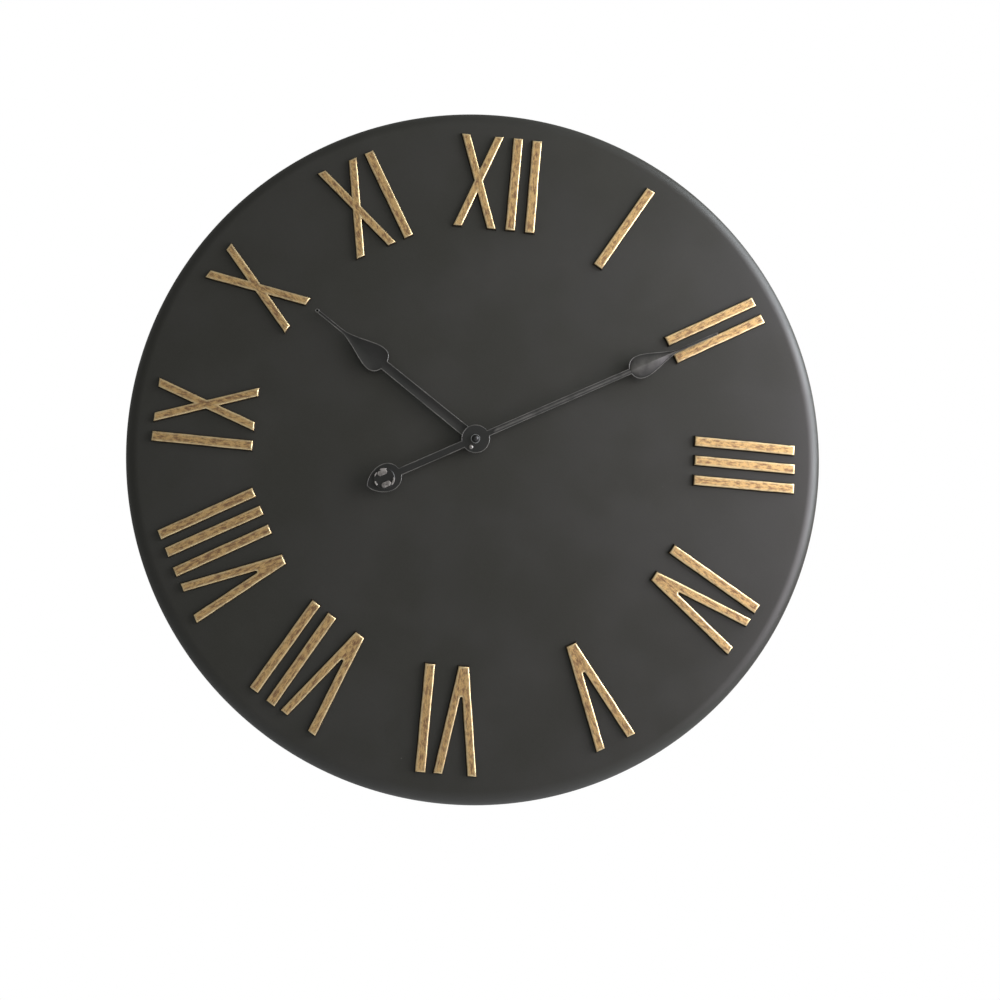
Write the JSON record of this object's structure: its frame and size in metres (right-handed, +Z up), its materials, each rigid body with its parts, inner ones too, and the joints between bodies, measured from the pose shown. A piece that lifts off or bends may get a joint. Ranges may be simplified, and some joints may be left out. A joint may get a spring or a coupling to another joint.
{
  "type": "wall clock",
  "caption": "Round wall clock with a pressed steel dial, raised Roman numerals, spade hands and a battery movement behind, hung from a keyhole.",
  "frame": {"origin": "centre of the keyhole's round hole, on the wall plane (the back face of the hanger plate)", "axes": "+Y into the wall (the front faces -Y), +Z up, +X to the right for someone who faces the clock"},
  "size_m": [0.6, 0.0397, 0.6],
  "materials": {
    "charcoal_paint": "matt charcoal powder coat with a fine grain",
    "antique_brass": "brushed, brown patina with bright worn edges",
    "black_enamel": "satin black enamel",
    "zinc_steel": "zinc plated",
    "plain_brass": "turned",
    "black_plastic": "moulded, fine spark texture",
    "ivory_acetal": "moulded, smooth",
    "magnet_grey": "bonded magnet",
    "black_rubber": "matt",
    "copper_wire": "enamelled wire, wound",
    "board_green": "solder mask",
    "battery_sleeve": "printed sleeve without lettering"
  },
  "bodies": {
    "clock_body": {"dial_pan": "charcoal_paint", "numeral_01_i1": "antique_brass", "numeral_02_i1": "antique_brass", "numeral_02_i2": "antique_brass", "numeral_03_i1": "antique_brass", "numeral_03_i2": "antique_brass", "numeral_03_i3": "antique_brass", "numeral_04_i1": "antique_brass", "numeral_04_v2": "antique_brass", "numeral_05_v1": "antique_brass", "numeral_06_v1": "antique_brass", "numeral_06_i2": "antique_brass", "numeral_07_v1": "antique_brass", "numeral_07_i2": "antique_brass", "numeral_07_i3": "antique_brass", "numeral_08_v1": "antique_brass", "numeral_08_i2": "antique_brass", "numeral_08_i3": "antique_brass", "numeral_08_i4": "antique_brass", "numeral_09_i1": "antique_brass", "numeral_09_x2": "antique_brass", "numeral_10_x1": "antique_brass", "numeral_11_x1": "antique_brass", "numeral_11_i2": "antique_brass", "numeral_12_x1": "antique_brass", "numeral_12_i2": "antique_brass", "numeral_12_i3": "antique_brass", "stud_push_nuts": "zinc_steel", "hanger_bracket": "zinc_steel", "wall_pads": "black_rubber", "movement_case": "black_plastic", "movement_cover": "black_plastic", "rubber_gasket": "black_rubber", "threaded_bushing": "plain_brass", "dial_washer": "zinc_steel", "fixing_nut": "plain_brass", "stator": "zinc_steel", "coil_bobbin": "ivory_acetal", "coil_winding": "copper_wire", "train_bridge": "ivory_acetal", "circuit_board": "board_green", "quartz_crystal": "zinc_steel", "chip_cover": "black_plastic", "positive_contact": "zinc_steel", "negative_contact": "zinc_steel", "battery": "battery_sleeve"},
    "minute_set": {"minute_hand": "black_enamel", "minute_hand_collet": "plain_brass", "tail_counterweight": "black_enamel", "hand_nut": "black_enamel", "centre_wheel": "plain_brass"},
    "hour_set": {"hour_hand": "black_enamel", "hour_hand_collet": "plain_brass", "hour_wheel": "ivory_acetal"},
    "motion_set": {"motion_wheel": "ivory_acetal"},
    "third_set": {"third_wheel": "plain_brass"},
    "second_set": {"second_wheel": "ivory_acetal"},
    "intermediate_set": {"intermediate_wheel": "ivory_acetal"},
    "rotor_set": {"rotor": "magnet_grey"},
    "knob_set": {"setting_knob": "black_plastic"}
  },
  "joints": [
    {"name": "minute_turn", "type": "hinge", "parent": "clock_body", "child": "minute_set", "pos_m": [0, -0.03, -0.15], "axis": [0, 1, 0], "continuous": true},
    {"name": "hour_turn", "type": "hinge", "parent": "clock_body", "child": "hour_set", "pos_m": [0, -0.028, -0.15], "axis": [0, 1, 0], "continuous": true},
    {"name": "motion_turn", "type": "hinge", "parent": "clock_body", "child": "motion_set", "pos_m": [-0.00677, -0.0193, -0.15246], "axis": [0, 1, 0], "continuous": true},
    {"name": "third_turn", "type": "hinge", "parent": "clock_body", "child": "third_set", "pos_m": [0.0045, -0.0163, -0.14221], "axis": [0, 1, 0], "continuous": true},
    {"name": "second_turn", "type": "hinge", "parent": "clock_body", "child": "second_set", "pos_m": [-0.00286, -0.0148, -0.13796], "axis": [0, 1, 0], "continuous": true},
    {"name": "intermediate_turn", "type": "hinge", "parent": "clock_body", "child": "intermediate_set", "pos_m": [0.00098, -0.0133, -0.1313], "axis": [0, 1, 0], "continuous": true},
    {"name": "rotor_turn", "type": "hinge", "parent": "clock_body", "child": "rotor_set", "pos_m": [0.00774, -0.0133, -0.12949], "axis": [0, 1, 0], "continuous": true},
    {"name": "knob_turn", "type": "hinge", "parent": "clock_body", "child": "knob_set", "pos_m": [-0.01353, -0.0193, -0.15493], "axis": [0, 1, 0], "continuous": true}
  ],
  "couplings": [
    {"joint": "hour_turn", "follows": "minute_turn", "ratio": 0.083333},
    {"joint": "motion_turn", "follows": "minute_turn", "ratio": -0.33333},
    {"joint": "third_turn", "follows": "minute_turn", "ratio": -8},
    {"joint": "second_turn", "follows": "minute_turn", "ratio": 60},
    {"joint": "intermediate_turn", "follows": "minute_turn", "ratio": -300},
    {"joint": "rotor_turn", "follows": "minute_turn", "ratio": 1800},
    {"joint": "knob_turn", "follows": "minute_turn", "ratio": 1}
  ]
}
